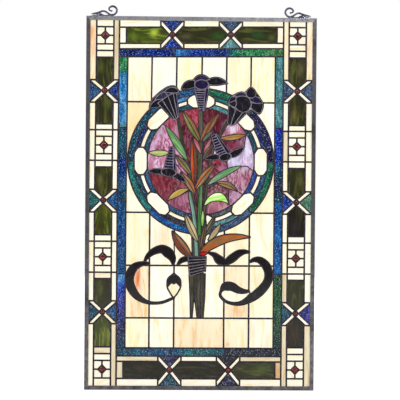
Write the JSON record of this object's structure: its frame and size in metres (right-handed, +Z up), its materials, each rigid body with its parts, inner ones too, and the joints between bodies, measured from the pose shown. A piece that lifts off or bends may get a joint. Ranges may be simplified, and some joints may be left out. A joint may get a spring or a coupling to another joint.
{
  "type": "stained glass window panel",
  "caption": "Framed leaded glass panel for hanging, with a glass mosaic border, a ring medallion behind lilies tied with a ribbon, and scroll hangers on its top rail.",
  "frame": {"origin": "midway between the points where two hooks bear inside the hangers' loops, on the panel's middle plane", "axes": "+X to the right seen from the front, +Z up along the panel's height, -Y out of the decorated front face"},
  "size_m": [0.527, 0.007, 0.8795],
  "materials": {
    "zinc_channel": "dull pewter grey, satin",
    "cast_hanger": "dark antique patina, satin",
    "solder": "patinated solder bead, semi-gloss",
    "cream_glass": "opalescent, gloss, streaked",
    "green_glass": "streaky dark green, gloss",
    "blue_glass": "ripple-textured blue, gloss"
  },
  "bodies": {
    "root": {"rail_top": "zinc_channel", "rail_bottom": "zinc_channel", "rail_left": "zinc_channel", "rail_right": "zinc_channel", "hanger_left": "cast_hanger", "hanger_right": "cast_hanger", "solder_web": "solder", "pane_band_bottom_1": "blue_glass", "pane_band_bottom_2": "blue_glass", "pane_band_bottom_3": "blue_glass", "pane_band_left_1": "blue_glass", "pane_band_left_2": "blue_glass", "pane_band_left_3": "blue_glass", "pane_band_left_4": "blue_glass", "pane_band_right_1": "blue_glass", "pane_band_right_2": "blue_glass", "pane_band_right_3": "blue_glass", "pane_band_right_4": "blue_glass", "pane_band_top_1": "blue_glass", "pane_band_top_2": "blue_glass", "pane_band_top_3": "blue_glass", "pane_field_1_1": "cream_glass", "pane_field_1_2": "cream_glass", "pane_field_1_3": "cream_glass", "pane_field_1_4": "cream_glass", "pane_field_1_5": "cream_glass", "pane_field_1_6": "cream_glass", "pane_field_2_1": "cream_glass", "pane_field_4_1": "cream_glass", "pane_field_4_2": "cream_glass", "pane_field_4_6": "cream_glass", "pane_field_5_1": "cream_glass", "pane_field_5_2": "cream_glass", "pane_field_5_3": "cream_glass", "pane_field_5_4": "cream_glass", "pane_field_5_5": "cream_glass", "pane_field_5_6": "cream_glass", "pane_field_6_1": "cream_glass", "pane_field_6_2": "cream_glass", "pane_field_6_3": "cream_glass", "pane_field_6_5": "cream_glass", "pane_field_6_6": "cream_glass", "pane_green_bottom_1": "green_glass", "pane_green_bottom_2": "green_glass", "pane_green_bottom_3": "green_glass", "pane_green_left_1": "green_glass", "pane_green_left_2": "green_glass", "pane_green_left_3": "green_glass", "pane_green_left_4": "green_glass", "pane_green_left_5": "green_glass", "pane_green_left_6": "green_glass", "pane_green_right_1": "green_glass", "pane_green_right_2": "green_glass", "pane_green_right_3": "green_glass", "pane_green_right_4": "green_glass", "pane_green_right_5": "green_glass", "pane_green_right_6": "green_glass", "pane_green_top_1": "green_glass", "pane_green_top_2": "green_glass", "pane_green_top_3": "green_glass"}
  },
  "joints": []
}
